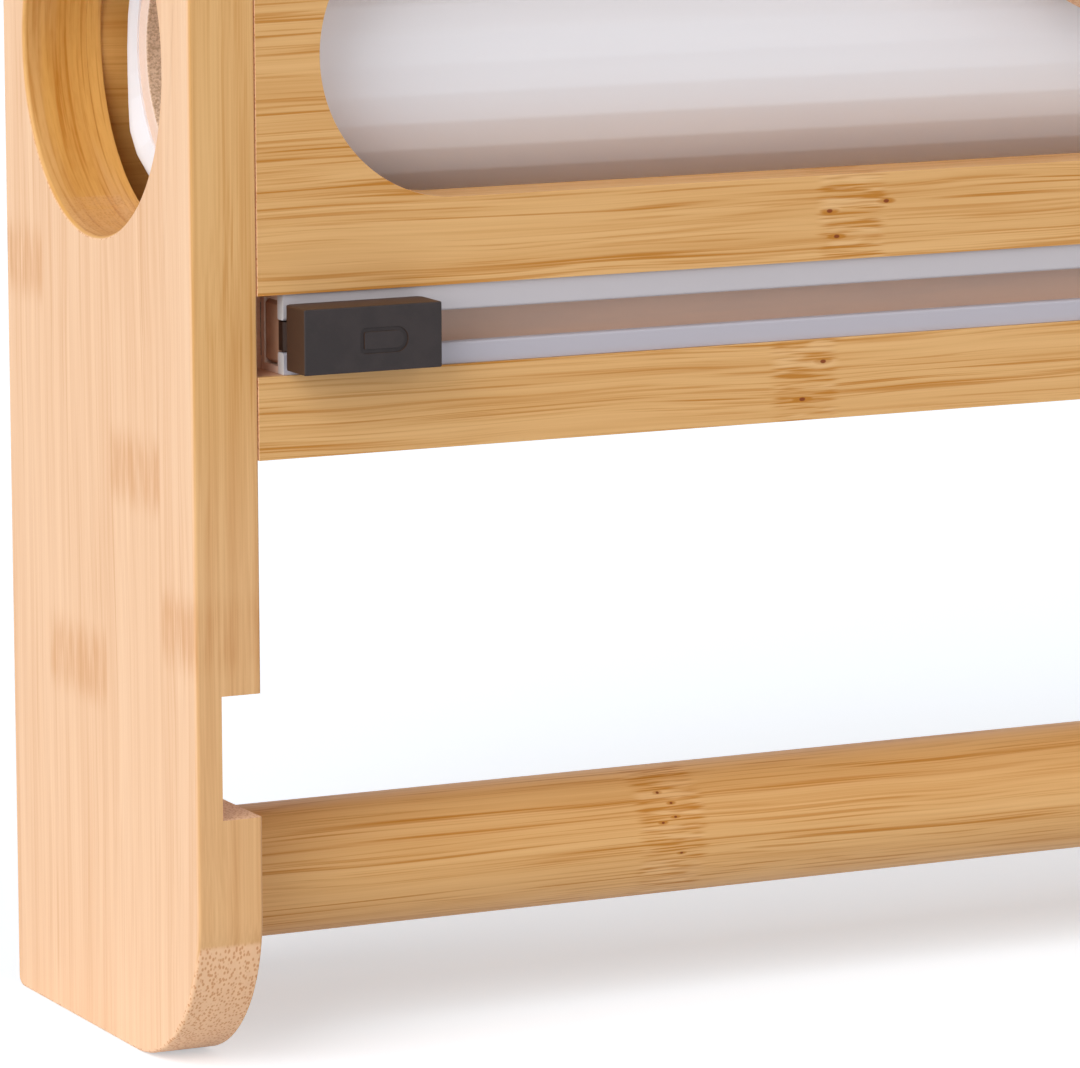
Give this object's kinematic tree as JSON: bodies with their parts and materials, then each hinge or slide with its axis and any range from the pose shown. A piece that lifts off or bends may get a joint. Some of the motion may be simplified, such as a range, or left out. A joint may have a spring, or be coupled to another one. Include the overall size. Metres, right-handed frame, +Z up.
{
  "type": "cling film dispenser",
  "caption": "Wood cabinet for a roll of cling film, with a film window, a slide cutter in a rail, a hinged lid and a loose bar for kitchen paper in slotted legs.",
  "frame": {"origin": "bottom centre of the object's box, on the surface that the feet stand on", "axes": "+X to the right, +Y to the back (the wall), +Z up; the front with the window faces -Y"},
  "size_m": [0.36, 0.0922, 0.2258],
  "materials": {
    "bamboo": "light laminated bamboo, clear satin lacquer",
    "dowel_wood": "plain beech dowel",
    "steel": "ground steel",
    "rail_plastic": "milky white extruded plastic",
    "tape_foam": "white double-sided foam tape",
    "black_plastic": "fine matte black moulding",
    "film": "glossy wound clear film, milky in the roll",
    "core_card": "rough recycled board"
  },
  "bodies": {
    "cabinet": {"left_side_panel": "bamboo", "right_side_panel": "bamboo", "left_liner": "bamboo", "right_liner": "bamboo", "front_panel": "bamboo", "back_panel": "bamboo", "floor_board": "bamboo", "left_dowels": "dowel_wood", "right_dowels": "dowel_wood", "lid_pins": "steel", "cutter_rail": "rail_plastic", "rail_tape": "tape_foam"},
    "lid_board": {"lid": "bamboo", "lid_tab": "bamboo"},
    "cutter": {"cutter_block": "black_plastic", "cutter_shoe": "black_plastic", "cutter_blade": "steel"},
    "roll": {"film_roll": "film", "film_core": "core_card"},
    "bar": {"paper_bar": "bamboo"}
  },
  "joints": [
    {"name": "lid_hinge", "type": "hinge", "parent": "cabinet", "child": "lid_board", "pos_m": [0, 0.04015, 0.2198], "axis": [-1, 0, 0], "range_deg": [0, 90]},
    {"name": "cutter_slide", "type": "slide", "parent": "cabinet", "child": "cutter", "axis": [1, 0, 0], "range_m": [0, 0.3007]},
    {"name": "roll_spin", "type": "hinge", "parent": "cabinet", "child": "roll", "pos_m": [0, 0.0035, 0.17035], "axis": [1, 0, 0], "continuous": true},
    {"name": "bar_lift", "type": "slide", "parent": "cabinet", "child": "bar", "axis": [0, 0, 1], "range_m": [0, 0.02645]}
  ]
}
